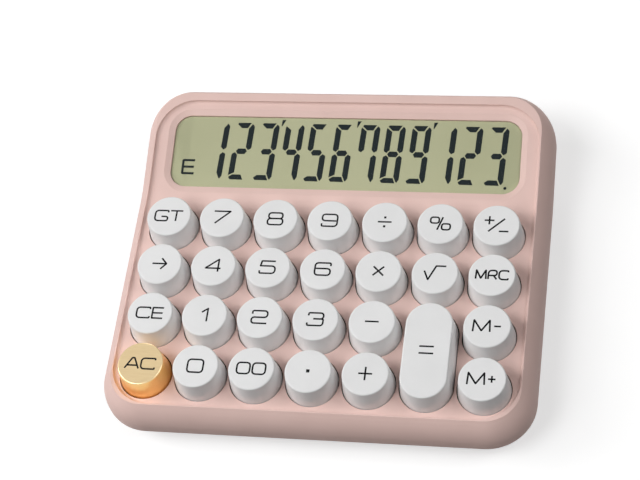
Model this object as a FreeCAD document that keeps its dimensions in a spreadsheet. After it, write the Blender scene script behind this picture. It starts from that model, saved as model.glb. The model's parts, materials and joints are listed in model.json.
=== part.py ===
import FreeCAD
import Part
import math
import os
import re
import Sketcher

# Desk calculator: a bent two-shell case with a tilted display, round keys on mechanical switches
# and two cells behind a sliding door.  +X is to the right, +Y to the rear, +Z up, in millimetres.
# The origin is under the middle of the case, on the desk.

SIZES = {
    # Case
    "case_width": 147.5,
    "case_length": 129.3,
    "case_corner": 16.5,
    "deck_corner": 14.1,
    "deck_height": 20.0,
    "deck_wall": 2.0,
    "shell_wall": 2.0,
    "rim_rise": 1.2,
    "rim_width": 4.85,
    "rear_rim_width": 7.1,
    "rim_round": 1.1,
    "bevel_width": 4.45,
    "bevel_depth": 5.0,
    "bevel_round": 13.5,
    "skirt_depth": 13.1,
    "skirt_round": 1.5,
    "hollow_bevel": 4.0,
    "display_tilt": 11.0,
    "bend_distance": 15.4,
    "bend_radius": 30.0,
    "lap_depth": 2.0,
    "lap_clearance": 0.15,
    "flare_height": 6.3,
    "base_taper": 23.0,
    "floor_wall": 2.4,
    # Feet
    "foot_height": 1.5,
    "foot_seat": 0.5,
    "foot_radius": 5.0,
    "foot_clearance": 0.1,
    "foot_side_margin": 18.45,
    "foot_front_margin": 11.95,
    "foot_rear_margin": 16.45,
    # Keys
    "side_border": 16.6,
    "front_border": 16.075,
    "key_rise": 8.4,
    "key_travel": 3.5,
    "key_gap": 0.3,
    "cap_spacing": 1.35,
    "cap_draft": 1.1,
    "cap_sink": 1.0,
    "cap_wall": 1.2,
    "cap_roof": 1.5,
    "cap_round": 0.5,
    "boss_radius": 2.75,
    "boss_length": 4.3,
    "cross_length": 4.1,
    "cross_width": 1.2,
    "cross_clearance": 0.05,
    "guide_offset": 11.0,
    "guide_radius": 1.6,
    "guide_clearance": 0.1,
    "guide_wall": 1.0,
    "guide_overlap": 1.5,
    # Switches
    "switch_drop": 10.3,
    "switch_width": 14.0,
    "switch_corner": 1.0,
    "switch_base_height": 4.5,
    "switch_floor": 0.6,
    "flange_width": 15.0,
    "flange_corner": 2.0,
    "flange_thickness": 0.8,
    "cover_width": 9.6,
    "cover_wall": 0.6,
    "cover_roof": 1.2,
    "cover_drop": 1.5,
    "slider_length": 6.4,
    "slider_width": 5.0,
    "slider_lip": 0.8,
    "slider_clearance": 0.2,
    "slider_proud": 0.5,
    "spring_radius": 1.8,
    "spring_wall": 0.5,
    "spring_seat": 1.5,
    "post_height": 2.0,
    "contact_width": 3.0,
    "contact_thickness": 0.2,
    "pin_width": 1.2,
    "pin_length": 1.3,
    "pin_clearance": 0.1,
    # Main board and its screws
    "board_thickness": 1.6,
    "board_margin": 9.0,
    "board_corner": 10.0,
    "boss_outer": 1.9,
    "screw_radius": 0.8,
    "screw_clearance": 0.05,
    "board_hole_clearance": 0.3,
    "board_screw_grip": 6.0,
    "board_screw_head": 1.7,
    "head_thickness": 1.0,
    # Case screws
    "case_post_radius": 3.2,
    "case_post_gap": 0.4,
    "case_screw_radius": 1.0,
    "case_screw_grip": 6.0,
    "case_head_radius": 2.0,
    "case_head_thickness": 1.2,
    "case_hole_clearance": 0.2,
    "case_web": 2.0,
    "rear_boss_radius": 2.2,
    "rear_screw_margin": 23.75,
    "rear_screw_distance": 11.5,
    "pilot_spare": 0.5,
    # Display
    "window_side": 11.25,
    "window_front": 2.0,
    "window_rear": 12.14,
    "window_corner": 6.0,
    "recess_depth": 0.9,
    "recess_width": 2.1,
    "recess_over": 0.3,
    "lens_gap": 0.1,
    "lens_step": 0.3,
    "lens_thickness": 0.4,
    "panel_border": 1.2,
    "panel_thickness": 2.0,
    "panel_gap": 0.2,
    "frame_wall": 1.3,
    "zebra_height": 0.8,
    "zebra_width": 2.0,
    "zebra_inset": 6.0,
    "display_board_thickness": 1.0,
    "display_board_overhang": 3.4,
    "display_post_radius": 1.5,
    "display_post_inset": 1.7,
    "display_screw_margin": 12.0,
    "display_screw_grip": 3.0,
    "chip_radius": 4.0,
    "chip_height": 1.2,
    "chip_offset": 42.0,
    "ribbon_width": 18.0,
    "ribbon_thickness": 0.3,
    "ribbon_offset": 20.0,
    "ribbon_tab": 1.5,
    # Cells, contacts and door
    "cell_radius": 5.25,
    "cell_length": 44.5,
    "cell_nub_radius": 1.9,
    "cell_nub_height": 0.8,
    "cell_gap": 0.4,
    "cell_lift": 0.3,
    "bay_rear_margin": 10.65,
    "bay_wall": 1.5,
    "bay_height": 6.5,
    "contact_plate": 0.4,
    "contact_plate_width": 8.0,
    "contact_plate_height": 9.0,
    "wire_radius": 0.5,
    "wire_bend": 2.0,
    "wire_height": 2.5,
    "wire_spacing": 2.0,
    "wire_run": 3.4,
    "wire_margin": 0.7,
    "door_width": 42.0,
    "door_tongue": 2.0,
    "door_step": 1.2,
    "door_clearance": 0.2,
    "door_lap": 1.0,
    "door_grip_length": 14.0,
    "door_grip_width": 1.2,
    "door_grip_depth": 0.5,
    "door_grip_pitch": 2.6,
}

CLEAR = 40.0        # reach of a cutting or limiting solid past the piece that it trims
TOUCH = 0.01        # how near counts as on the same line

# Row by row from the rear, left to right; the long key fills two places.
KEY_NAMES = [
    ["gt", "7", "8", "9", "divide", "percent", "sign"],
    ["back", "4", "5", "6", "multiply", "root", "mrc"],
    ["ce", "1", "2", "3", "minus", "equals", "m_minus"],
    ["ac", "0", "00", "point", "plus", "equals", "m_plus"],
]
LAST_COLUMN = len(KEY_NAMES[0]) - 1
LAST_ROW = len(KEY_NAMES) - 1
# Screws half-way between two keys.
BOARD_SCREWS_BETWEEN = [
    ("gt", "4"), ("9", "multiply"), ("percent", "mrc"), ("ce", "0"), ("3", "plus"), ("root", "m_minus"),
]
FRONT_SCREWS_BETWEEN = [("4", "2"), ("root", "minus")]
# Sizes that follow from the case, so that the keys and the window fill it.
DERIVED = {
    "key_pitch": f"(case_width - 2 * side_border) / {LAST_COLUMN}",
    "cap_foot_radius": "(key_pitch - cap_spacing) / 2",
    "cap_top_radius": "cap_foot_radius - cap_draft",
    "key_rows": f"{LAST_ROW} * key_pitch",
    "window_width": "case_width - 2 * window_side",
    "display_run": "(case_length - front_border - key_rows - bend_distance) / cos(display_tilt * 1 deg)",
    "window_length": "display_run - window_front - window_rear",
}

doc = FreeCAD.newDocument("desk_calculator")
sheet = doc.addObject("Spreadsheet::Sheet", "sizes")
for line, (alias, value) in enumerate(SIZES.items(), start=1):
    sheet.set(f"A{line}", alias)
    sheet.set(f"B{line}", str(value))
    sheet.setAlias(f"B{line}", alias)
doc.recompute()

# Heights and places that several pieces share, as expressions of the sizes above.
TILT = "(display_tilt * 1 deg)"
FLOOR = "(foot_height + floor_wall)"
KEY_TOP = "(deck_height + key_rise)"
CAP_FOOT = "(deck_height - cap_sink)"
CAP_CEILING = "(deck_height + key_rise - cap_roof)"
BOARD_TOP = "(deck_height - switch_drop)"
BOARD_UNDER = "(deck_height - switch_drop - board_thickness)"
FLANGE_UNDER = "(deck_height - switch_drop + switch_base_height)"
FLANGE_TOP = "(deck_height - switch_drop + switch_base_height + flange_thickness)"
COVER_TOP = "(deck_height - cover_drop)"
WELL_FLOOR = "(deck_height - switch_drop + switch_floor)"
SLIDER_FOOT = "(deck_height - switch_drop + switch_floor + key_travel + slider_clearance)"
SLIDER_TOP = "(deck_height - cover_drop + slider_proud)"
SPRING_TOP = "(deck_height - cover_drop + slider_proud - spring_seat)"
WELL = "(cover_width - 2 * cover_wall)"
SKIRT_OFFSET = "(rim_rise - skirt_depth)"
CASE_FRONT = "(-case_length / 2)"
CASE_REAR = "(case_length / 2)"
REAR_ROW = "(front_border - case_length / 2 + key_rows)"
BEND = "(front_border - case_length / 2 + key_rows + bend_distance)"
BEND_START = f"({BEND} - bend_radius * tan({TILT} / 2))"
POST_TOP = "(deck_height - switch_drop - board_thickness - case_post_gap)"
CELL_MIDDLE = f"({FLOOR} + cell_lift + cell_radius)"
REAR_CELL = "(case_length / 2 - bay_rear_margin)"
FRONT_CELL = "(case_length / 2 - bay_rear_margin - 2 * cell_radius - cell_gap)"
BAY_FRONT = f"({FRONT_CELL} - cell_radius - cell_gap)"
WINDOW_MIDDLE = "(window_front + window_length / 2)"
PANEL_FACE = "(recess_depth + lens_step + lens_thickness)"
PANEL_UNDER = "(deck_wall + panel_thickness)"
DISPLAY_BOARD_TOP = f"({PANEL_UNDER} + zebra_height)"
PANEL_HALF_WIDTH = "(window_width / 2 + panel_border)"
PANEL_HALF_LENGTH = "(window_length / 2 + panel_border)"
FRAME_BORDER = "(panel_border + panel_gap + frame_wall)"
FRAME_HALF_WIDTH = f"(window_width / 2 + {FRAME_BORDER})"
FRAME_HALF_LENGTH = f"(window_length / 2 + {FRAME_BORDER})"
DISPLAY_POST_X = f"({FRAME_HALF_WIDTH} + display_post_inset)"
DISPLAY_POST_Y = "(window_length / 2 - display_screw_margin)"
TUB_INSET = "(shell_wall + lap_clearance)"
TAPER_INSET = "(flare_height * tan(base_taper * 1 deg))"
DOOR_REAR = f"({CASE_REAR} - {TUB_INSET} - {TAPER_INSET})"


def cells(text):
    """Turn a formula of size names into one that reads the sheet."""

    def cell(word):
        if word[0] in DERIVED:
            return f"({cells(DERIVED[word[0]])})"
        return f"sizes.{word[0]}" if word[0] in SIZES else word[0]

    return re.sub(r"[a-z_]+", cell, text)


def value_of(text):
    """The present value of a formula of size names."""
    result = sheet.evalExpression(cells(text))
    return float(result.Value if hasattr(result, "Value") else result)


def bind(item, **formulas):
    for name, text in formulas.items():
        item.setExpression(name, cells(text))
    return item


def place(item, x="0", y="0", z="0"):
    for axis, text in zip("xyz", (x, y, z)):
        item.setExpression(f"Placement.Base.{axis}", cells(text))
    return item


def turn_about_x(item, angle):
    item.Placement = FreeCAD.Placement(FreeCAD.Vector(), FreeCAD.Rotation(FreeCAD.Vector(1, 0, 0), 1))
    item.setExpression("Placement.Rotation.Angle", cells(angle))
    return item


def on_display(item):
    """Move a piece from the display's own frame, level at the middle of the window, to its tilted seat."""
    turn_about_x(item, "display_tilt")
    return place(
        item,
        y=f"{BEND} + {WINDOW_MIDDLE} * cos({TILT})",
        z=f"deck_height + {WINDOW_MIDDLE} * sin({TILT})",
    )


def box(name, length, width, height, x, y, z):
    """A block centred on x and y that stands on z."""
    item = bind(doc.addObject("Part::Box", name), Length=length, Width=width, Height=height)
    return place(item, f"{x} - ({length}) / 2", f"{y} - ({width}) / 2", z)


def cylinder(name, radius, height, x, y, z):
    item = bind(doc.addObject("Part::Cylinder", name), Radius=radius, Height=height)
    return place(item, x, y, z)


def fuse(name, items):
    item = doc.addObject("Part::MultiFuse", name)
    item.Shapes = items
    return item


def group(name, items):
    item = doc.addObject("Part::Compound", name)
    item.Links = items
    return item


def cut(name, base, tool):
    item = doc.addObject("Part::Cut", name)
    item.Base = base
    item.Tool = tool
    return item


def common(name, base, tool):
    item = doc.addObject("Part::Common", name)
    item.Base = base
    item.Tool = tool
    return item


def new_sketch(body, name, role):
    sketch = body.newObject("Sketcher::SketchObject", name)
    plane = next(item for item in body.Origin.OriginFeatures if item.Role == role)
    sketch.AttachmentSupport = [(plane, "")]
    sketch.MapMode = "FlatFace"
    return sketch


def dimension(sketch, kind, *where, formula):
    """Add one driving dimension that follows the sheet."""
    number = sketch.addConstraint(Sketcher.Constraint(kind, *where, value_of(formula)))
    sketch.setExpression(f"Constraints[{number}]", cells(formula))


def pin_point(sketch, edge, end, across, up):
    """Fix a point of the sketch by its two distances from the sketch's origin."""
    for kind, formula, on_axis in (("DistanceX", across, -2), ("DistanceY", up, -1)):
        if formula == "0":
            sketch.addConstraint(Sketcher.Constraint("PointOnObject", edge, end, on_axis))
        else:
            dimension(sketch, kind, -1, 1, edge, end, formula=formula)


def polygon(sketch, points):
    """A closed outline of straight lines through points given as pairs of formulas."""
    corners = [FreeCAD.Vector(value_of(across), value_of(up)) for across, up in points]
    edges = []
    for start, end in zip(corners, corners[1:] + corners[:1]):
        edges.append(sketch.addGeometry(Part.LineSegment(start, end)))
    for edge, after in zip(edges, edges[1:] + edges[:1]):
        sketch.addConstraint(Sketcher.Constraint("Coincident", edge, 2, after, 1))
    for edge, (across, up) in zip(edges, points):
        pin_point(sketch, edge, 1, across, up)


def rounded_rectangle(sketch, half_width, low, high, corner):
    """A rectangle with round corners, centred across the sketch."""
    middle = FreeCAD.Vector(0, 0, 1)
    radius = value_of(corner)
    quarter = math.pi / 2
    places = [
        (f"{half_width} - ({corner})", f"{high} - ({corner})"),
        (f"({corner}) - {half_width}", f"{high} - ({corner})"),
        (f"({corner}) - {half_width}", f"{low} + {corner}"),
        (f"{half_width} - ({corner})", f"{low} + {corner}"),
    ]
    arcs = []
    for turn, (across, up) in enumerate(places):
        circle = Part.Circle(FreeCAD.Vector(value_of(across), value_of(up)), middle, radius)
        arc = Part.ArcOfCircle(circle, turn * quarter, (turn + 1) * quarter)
        arcs.append(sketch.addGeometry(arc))
    for arc, after in zip(arcs, arcs[1:] + arcs[:1]):
        start = sketch.Geometry[arc].EndPoint
        end = sketch.Geometry[after].StartPoint
        side = sketch.addGeometry(Part.LineSegment(start, end))
        sketch.addConstraint(Sketcher.Constraint("Tangent", arc, 2, side, 1))
        sketch.addConstraint(Sketcher.Constraint("Tangent", side, 2, after, 1))
    for arc, (across, up) in zip(arcs, places):
        pin_point(sketch, arc, 3, across, up)
        dimension(sketch, "Radius", arc, formula=corner)


def pad(body, sketch, length, reverse=False, taper=None):
    item = body.newObject("PartDesign::Pad", f"{sketch.Name}_pad")
    item.Profile = sketch
    item.Reversed = reverse
    bind(item, Length=length)
    if taper:
        bind(item, TaperAngle=taper)
    return item


def outline_block(name, half_width, low, high, corner, height, taper=None):
    """A pad of a rounded rectangle, from the ground plane of its own frame upwards."""
    body = doc.addObject("PartDesign::Body", name)
    sketch = new_sketch(body, f"{name}_outline", "XY_Plane")
    rounded_rectangle(sketch, half_width, low, high, corner)
    pad(body, sketch, height, taper=taper)
    return body


def bent_block(name, offset, closing):
    """
    A block across the whole case, bounded by the bent deck surface raised by offset and by a level
    plane at height closing.
    """
    body = doc.addObject("PartDesign::Body", name)
    sketch = new_sketch(body, f"{name}_profile", "YZ_Plane")
    rise = f"tan({TILT})"
    front = f"{CASE_FRONT} - {CLEAR}"
    rear = f"{CASE_REAR} + {CLEAR}"
    start = (BEND_START, f"deck_height + {offset}")
    end = (
        f"({BEND_START} + (bend_radius - {offset}) * sin({TILT}))",
        f"(deck_height + bend_radius - (bend_radius - {offset}) * cos({TILT}))",
    )
    far = (rear, f"{end[1]} + ({rear} - {end[0]}) * {rise}")
    points = [(front, start[1]), start, end, far, (rear, closing), (front, closing)]
    corners = [FreeCAD.Vector(value_of(across), value_of(up)) for across, up in points]
    centre = FreeCAD.Vector(corners[1].x, value_of("deck_height + bend_radius"))
    circle = Part.Circle(centre, FreeCAD.Vector(0, 0, 1), value_of(f"bend_radius - {offset}"))
    arc = Part.ArcOfCircle(circle, circle.parameter(corners[1]), circle.parameter(corners[2]))
    shapes = [Part.LineSegment(first, last) for first, last in zip(corners, corners[1:] + corners[:1])]
    shapes[1] = arc
    edges = [sketch.addGeometry(shape) for shape in shapes]
    for edge, after in zip(edges, edges[1:] + edges[:1]):
        sketch.addConstraint(Sketcher.Constraint("Coincident", edge, 2, after, 1))
    for edge, (across, up) in zip(edges, points):
        pin_point(sketch, edge, 1, across, up)
    dimension(sketch, "Radius", edges[1], formula=f"bend_radius - {offset}")
    pad(body, sketch, f"case_width + {2 * CLEAR}")
    return place(body, x=f"-case_width / 2 - {CLEAR}")


def key_x(column):
    return f"(({column} - {LAST_COLUMN / 2}) * key_pitch)"


def key_y(row):
    return f"(front_border - case_length / 2 + ({LAST_ROW} - {row}) * key_pitch)"


def copies(name, pieces, places):
    """One group that holds the given pieces again at each place."""
    items = []
    for number, (column, row) in enumerate(places, start=1):
        items.append(place(group(f"{name}_{number}", pieces), key_x(column), key_y(row)))
    return group(name, items)


def edges_where(item, test):
    """Names of the edges of a finished shape whose middle and quarter points all pass a test."""
    names = []
    for number, edge in enumerate(item.Shape.Edges, start=1):
        first, last = edge.ParameterRange
        spots = [edge.valueAt(first + (last - first) * share) for share in (0.25, 0.5, 0.75)]
        if all(test(spot) for spot in spots):
            names.append(number)
    return names


def round_edges(name, item, numbers, radius):
    fillet = doc.addObject("Part::Fillet", name)
    fillet.Base = item
    size = value_of(radius)
    fillet.Edges = [(number, size, size) for number in numbers]
    return fillet


def bevel_edges(name, item, numbers, across, down):
    """Bevel edges between the top and the side of a shape, by one distance on each of the two faces."""
    bevel = doc.addObject("Part::Chamfer", name)
    bevel.Base = item
    edges = []
    for number in numbers:
        edge = item.Shape.Edges[number - 1]
        face = next(face for face in item.Shape.Faces if any(side.isSame(edge) for side in face.Edges))
        distances = [value_of(across), value_of(down)]
        if abs(face.normalAt(*face.Surface.parameter(edge.valueAt(edge.FirstParameter))).z) < 0.5:
            distances.reverse()
        edges.append((number, *distances))
    bevel.Edges = edges
    return bevel


def off_outline(spot, half_width, low, high, corner):
    """Distance of a point from a rounded rectangle, seen from above."""
    middle = (low + high) / 2
    across = abs(spot.x) - half_width + corner
    along = abs(spot.y - middle) - (high - low) / 2 + corner
    outside = FreeCAD.Vector(max(across, 0), max(along, 0), 0).Length
    return abs(outside + min(max(across, along), 0) - corner)


def deck_level(along):
    """Height of the deck surface at a place along the case."""
    tilt = math.radians(value_of("display_tilt"))
    radius = value_of("bend_radius")
    past = along - value_of(BEND_START)
    turn = radius * math.sin(tilt)
    if past <= 0:
        return value_of("deck_height")
    if past < turn:
        return value_of("deck_height") + radius - math.sqrt(radius**2 - past**2)
    return value_of("deck_height") + radius * (1 - math.cos(tilt)) + (past - turn) * math.tan(tilt)


def edges_along(item, outline, low, high):
    """Edges that run along a rounded outline, between two levels above the deck surface."""
    sizes = [value_of(formula) for formula in outline]
    least = value_of(low)
    most = value_of(high)

    def test(spot):
        level = spot.z - deck_level(spot.y)
        return least < level < most and off_outline(spot, *sizes) < TOUCH

    return edges_where(item, test)


# Top shell: a bent slab with a rim round the deck, hollow below.  Its outer wall is bevelled, rounded
# below the bevel and rounded again at its foot.
CASE = ("case_width / 2", CASE_FRONT, CASE_REAR, "case_corner")
DECK = (
    "(case_width / 2 - rim_width)",
    f"({CASE_FRONT} + rim_width)",
    f"({CASE_REAR} - rear_rim_width)",
    "deck_corner",
)
HOLLOW = (
    "(case_width / 2 - shell_wall)",
    f"({CASE_FRONT} + shell_wall)",
    f"({CASE_REAR} - shell_wall)",
    "(case_corner - shell_wall)",
)
SKY = f"deck_height + {CLEAR}"
GROUND = f"{-CLEAR}"

case_outline = outline_block("case_outline", *CASE, SKY)
under_crest = bent_block("under_crest", "rim_rise", GROUND)
case_block = common("case_block", case_outline, under_crest)
doc.recompute()
crest_edges = edges_along(case_block, CASE, "rim_rise / 2", "2 * rim_rise")
block_bevel = bevel_edges("block_bevel", case_block, crest_edges, "bevel_width", "bevel_depth")
doc.recompute()
bevel_foot = edges_along(block_bevel, CASE, "rim_rise - 1.5 * bevel_depth", "rim_rise - bevel_depth / 2")
block_round = round_edges("block_round", block_bevel, bevel_foot, "bevel_round")
under_skirt = bent_block("under_skirt", SKIRT_OFFSET, GROUND)
slab = cut("slab", block_round, under_skirt)
doc.recompute()
skirt_foot = edges_along(slab, CASE, f"{SKIRT_OFFSET} - skirt_round / 2", f"{SKIRT_OFFSET} + skirt_round / 2")
slab_round = round_edges("slab_round", slab, skirt_foot, "skirt_round")
deck_outline = outline_block("deck_outline", *DECK, SKY)
over_deck = bent_block("over_deck", "0", SKY)
dished = cut("dished", slab_round, common("deck_dish", deck_outline, over_deck))
doc.recompute()
deck_edges = edges_along(dished, DECK, "(0 - rim_rise / 2)", "rim_rise / 2")
dished_round = round_edges("dished_round", dished, deck_edges, "rim_round")
hollow_outline = outline_block("hollow_outline", *HOLLOW, SKY)
under_deck = bent_block("under_deck", "(0 - deck_wall)", GROUND)
case_hollow = common("case_hollow", hollow_outline, under_deck)
doc.recompute()
hollow_bevel = bevel_edges(
    "hollow_bevel",
    case_hollow,
    edges_along(case_hollow, HOLLOW, "(0 - 1.5 * deck_wall)", "0"),
    "hollow_bevel * bevel_width / bevel_depth",
    "hollow_bevel",
)
shell = cut("shell", dished_round, hollow_bevel)
doc.recompute()


def slot_block(name, radius, half_straight, height, taper=None):
    """A pad of a slot with round ends that runs along the case, from its own ground plane upwards."""
    body = doc.addObject("PartDesign::Body", name)
    sketch = new_sketch(body, f"{name}_outline", "XY_Plane")
    size = value_of(radius)
    reach = value_of(half_straight)
    up = FreeCAD.Vector(0, 0, 1)
    arcs = []
    for side, start in ((1, 0), (-1, math.pi)):
        circle = Part.Circle(FreeCAD.Vector(0, side * reach), up, size)
        arcs.append(sketch.addGeometry(Part.ArcOfCircle(circle, start, start + math.pi)))
    for arc, after in (arcs, arcs[::-1]):
        side = Part.LineSegment(sketch.Geometry[arc].EndPoint, sketch.Geometry[after].StartPoint)
        line = sketch.addGeometry(side)
        sketch.addConstraint(Sketcher.Constraint("Tangent", arc, 2, line, 1))
        sketch.addConstraint(Sketcher.Constraint("Tangent", line, 2, after, 1))
    for arc, formula in zip(arcs, (half_straight, f"-({half_straight})")):
        pin_point(sketch, arc, 3, "0", formula)
    for arc in arcs:
        dimension(sketch, "Radius", arc, formula=radius)
    pad(body, sketch, height, taper=taper)
    return body


# Keys.  Each key is a cap on the slider of its switch; both are drawn at the middle of the key grid's
# own frame and set out from there.
CAP_HEIGHT = "(key_rise + cap_sink)"
CAP_LEAN = f"((cap_foot_radius - cap_top_radius) / {CAP_HEIGHT})"
CAP_TAPER = f"atan((cap_top_radius - cap_foot_radius) / {CAP_HEIGHT})"
CEILING_RADIUS = f"(cap_top_radius + {CAP_LEAN} * cap_roof - cap_wall)"
BOSS_FOOT = f"({CAP_CEILING} - boss_length)"
HOLE_RADIUS = "(cap_foot_radius + key_gap)"
LONG_REACH = "key_pitch / 2"
CROSS_SOCKET = ("cross_length + 2 * cross_clearance", "cross_width + 2 * cross_clearance")


def cross(name, length, width, height, z):
    """Two crossed bars that stand on z."""
    bars = [
        box(f"{name}_across", length, width, height, "0", "0", z),
        box(f"{name}_along", width, length, height, "0", "0", z),
    ]
    return fuse(name, bars)


def at_cap_top(spot):
    return abs(spot.z - value_of(KEY_TOP)) < TOUCH


cap_body = doc.addObject("PartDesign::Body", "cap_body")
cap_profile = new_sketch(cap_body, "cap_profile", "XZ_Plane")
polygon(
    cap_profile,
    [
        ("0", KEY_TOP),
        ("cap_top_radius", KEY_TOP),
        ("cap_foot_radius", CAP_FOOT),
        ("cap_foot_radius - cap_wall", CAP_FOOT),
        (CEILING_RADIUS, CAP_CEILING),
        ("boss_radius", CAP_CEILING),
        ("boss_radius", BOSS_FOOT),
        ("0", BOSS_FOOT),
    ],
)
cap_turned = cap_body.newObject("PartDesign::Revolution", "cap_turned")
cap_turned.Profile = cap_profile
cap_turned.ReferenceAxis = (cap_profile, ["V_Axis"])
cap_turned.Angle = 360
doc.recompute()
cap_round = round_edges("cap_rounded", cap_body, edges_where(cap_body, at_cap_top), "cap_round")
socket = cross("cap_socket", *CROSS_SOCKET, "boss_length", BOSS_FOOT)
round_cap = cut("round_cap", cap_round, socket)

long_outer = place(
    slot_block("long_outer", "cap_foot_radius", LONG_REACH, CAP_HEIGHT, taper=CAP_TAPER), z=CAP_FOOT
)
doc.recompute()
long_round = round_edges("long_rounded", long_outer, edges_where(long_outer, at_cap_top), "cap_round")
long_inner = place(
    slot_block(
        "long_inner", "(cap_foot_radius - cap_wall)", LONG_REACH, f"{CAP_HEIGHT} - cap_roof", taper=CAP_TAPER
    ),
    z=CAP_FOOT,
)
GUIDE_FOOT = f"({COVER_TOP} - guide_overlap)"
ROOF_CORE = f"({KEY_TOP} - cap_roof / 2)"
long_posts = [cylinder("long_boss", "boss_radius", f"{ROOF_CORE} - {BOSS_FOOT}", "0", "0", BOSS_FOOT)]
for side in ("-", ""):
    long_posts.append(
        cylinder(
            "guide_post_front" if side else "guide_post_rear",
            "guide_radius",
            f"{ROOF_CORE} - {GUIDE_FOOT}",
            "0",
            f"{side}guide_offset",
            GUIDE_FOOT,
        )
    )
long_cup = cut("long_cup", long_round, long_inner)
long_cap = cut("long_cap", fuse("long_stems", [long_cup] + long_posts), socket)

slider_parts = [
    box(
        "slider_block",
        "slider_length",
        "slider_width",
        f"{SLIDER_TOP} - {SLIDER_FOOT}",
        "0",
        "0",
        SLIDER_FOOT,
    ),
    box(
        "slider_lips",
        "slider_length + 2 * slider_lip",
        "slider_width + 2 * slider_lip",
        f"{COVER_TOP} - cover_roof - slider_clearance - {SLIDER_FOOT}",
        "0",
        "0",
        SLIDER_FOOT,
    ),
    cross("slider_cross", "cross_length", "cross_width", f"{CAP_CEILING} - {SLIDER_TOP}", SLIDER_TOP),
]
spring_well = cylinder(
    "spring_well", "spring_radius + slider_clearance", f"{SPRING_TOP} - {SLIDER_FOOT}", "0", "0", SLIDER_FOOT
)
slider = cut("slider", fuse("slider_solid", slider_parts), spring_well)

key_spots = {}
for row, names in enumerate(KEY_NAMES):
    for column, name in enumerate(names):
        key_spots.setdefault(name, []).append((column, row))


def middle_of(spots):
    return tuple(sum(axis) / len(spots) for axis in zip(*spots))


def half_way(pairs):
    return [middle_of([key_places[first], key_places[last]]) for first, last in pairs]


key_places = {name: middle_of(spots) for name, spots in key_spots.items()}
board_screw_places = half_way(BOARD_SCREWS_BETWEEN)
front_screw_places = half_way(FRONT_SCREWS_BETWEEN)

nodes = {}
for name, (column, row) in key_places.items():
    cap = long_cap if name == "equals" else round_cap
    nodes[f"key_{name}"] = place(group(f"key_{name}", [cap, slider]), key_x(column), key_y(row))

# Switch housings, springs and contacts under the keys.
CONTACT_Y = f"((slider_width / 2 + slider_lip + {WELL} / 2) / 2)"
PIN_SLOT = ("pin_width + 2 * pin_clearance", "contact_thickness + 2 * pin_clearance")
PIN_FOOT = f"({BOARD_UNDER} - pin_length)"
PIN_HEIGHT = f"{WELL_FLOOR} - {PIN_FOOT}"



def square_block(name, width, corner, height, z):
    """A square block with round corners that stands on z."""
    return place(outline_block(name, f"{width} / 2", f"-{width} / 2", f"{width} / 2", corner, height), z=z)


pin_slots = []
contacts = []
for side in ("-", ""):
    suffix = "front" if side else "rear"
    place_y = f"{side}{CONTACT_Y}"
    pin_slots.append(box(f"pin_slot_{suffix}", *PIN_SLOT, PIN_HEIGHT, "0", place_y, PIN_FOOT))
    leaf = box(
        f"leaf_{suffix}",
        "contact_width",
        "contact_thickness",
        f"{FLANGE_UNDER} - slider_clearance - {WELL_FLOOR}",
        "0",
        place_y,
        WELL_FLOOR,
    )
    pin = box(f"pin_{suffix}", "pin_width", "contact_thickness", PIN_HEIGHT, "0", place_y, PIN_FOOT)
    contacts.append(fuse(f"contact_{suffix}", [leaf, pin]))

base_block = square_block("base_block", "switch_width", "switch_corner", "switch_base_height", BOARD_TOP)
base_well = box("base_well", WELL, WELL, "switch_base_height", "0", "0", WELL_FLOOR)
base_post = cylinder(
    "base_post", "spring_radius - spring_wall - slider_clearance", "post_height", "0", "0", WELL_FLOOR
)
base_cup = cut("base_cup", base_block, group("base_cuts", [base_well] + pin_slots))
switch_base = fuse("switch_base", [base_cup, base_post])

cover_block = fuse(
    "cover_block",
    [
        square_block("cover_flange", "flange_width", "flange_corner", "flange_thickness", FLANGE_UNDER),
        box(
            "cover_dome",
            "cover_width",
            "cover_width",
            f"{COVER_TOP} - {FLANGE_UNDER}",
            "0",
            "0",
            FLANGE_UNDER,
        ),
    ],
)
cover_cuts = fuse(
    "cover_cuts",
    [
        box("cover_well", WELL, WELL, f"{COVER_TOP} - cover_roof - {FLANGE_UNDER}", "0", "0", FLANGE_UNDER),
        box(
            "cover_mouth",
            "slider_length + 2 * slider_clearance",
            "slider_width + 2 * slider_clearance",
            f"{COVER_TOP} - {FLANGE_UNDER}",
            "0",
            "0",
            FLANGE_UNDER,
        ),
    ],
)
switch_cover = cut("switch_cover", cover_block, cover_cuts)
spring_coil = cylinder("spring_coil", "spring_radius", f"{SPRING_TOP} - {WELL_FLOOR}", "0", "0", WELL_FLOOR)
spring_bore = cylinder(
    "spring_bore", "spring_radius - spring_wall", f"{SPRING_TOP} - {WELL_FLOOR}", "0", "0", WELL_FLOOR
)
spring = cut("spring", spring_coil, spring_bore)

places = list(key_places.values())
nodes["switch_bases"] = copies("switch_bases", [switch_base], places)
nodes["switch_covers"] = copies("switch_covers", [switch_cover], places)
nodes["switch_contacts"] = copies("switch_contacts", contacts, places)
nodes["switch_springs"] = copies("switch_springs", [spring], places)

guide_sleeves = []
for side in ("-", ""):
    suffix = "front" if side else "rear"
    column, row = key_places["equals"]
    spot = (key_x(column), f"{key_y(row)} + {side}guide_offset", BOARD_TOP)
    height = f"{COVER_TOP} - {BOARD_TOP}"
    bore = "(guide_radius + guide_clearance)"
    sleeve = cylinder(f"sleeve_{suffix}", f"{bore} + guide_wall", height, *spot)
    sleeve_bore = cylinder(f"sleeve_bore_{suffix}", bore, height, *spot)
    guide_sleeves.append(cut(f"guide_{suffix}", sleeve, sleeve_bore))
nodes["equals_guides"] = group("equals_guides", guide_sleeves)

# Main board, hung from the deck on screws.
BOARD_FRONT = f"({CASE_FRONT} + front_border - board_margin)"
BOARD_REAR = f"({REAR_ROW} + board_margin)"


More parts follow.
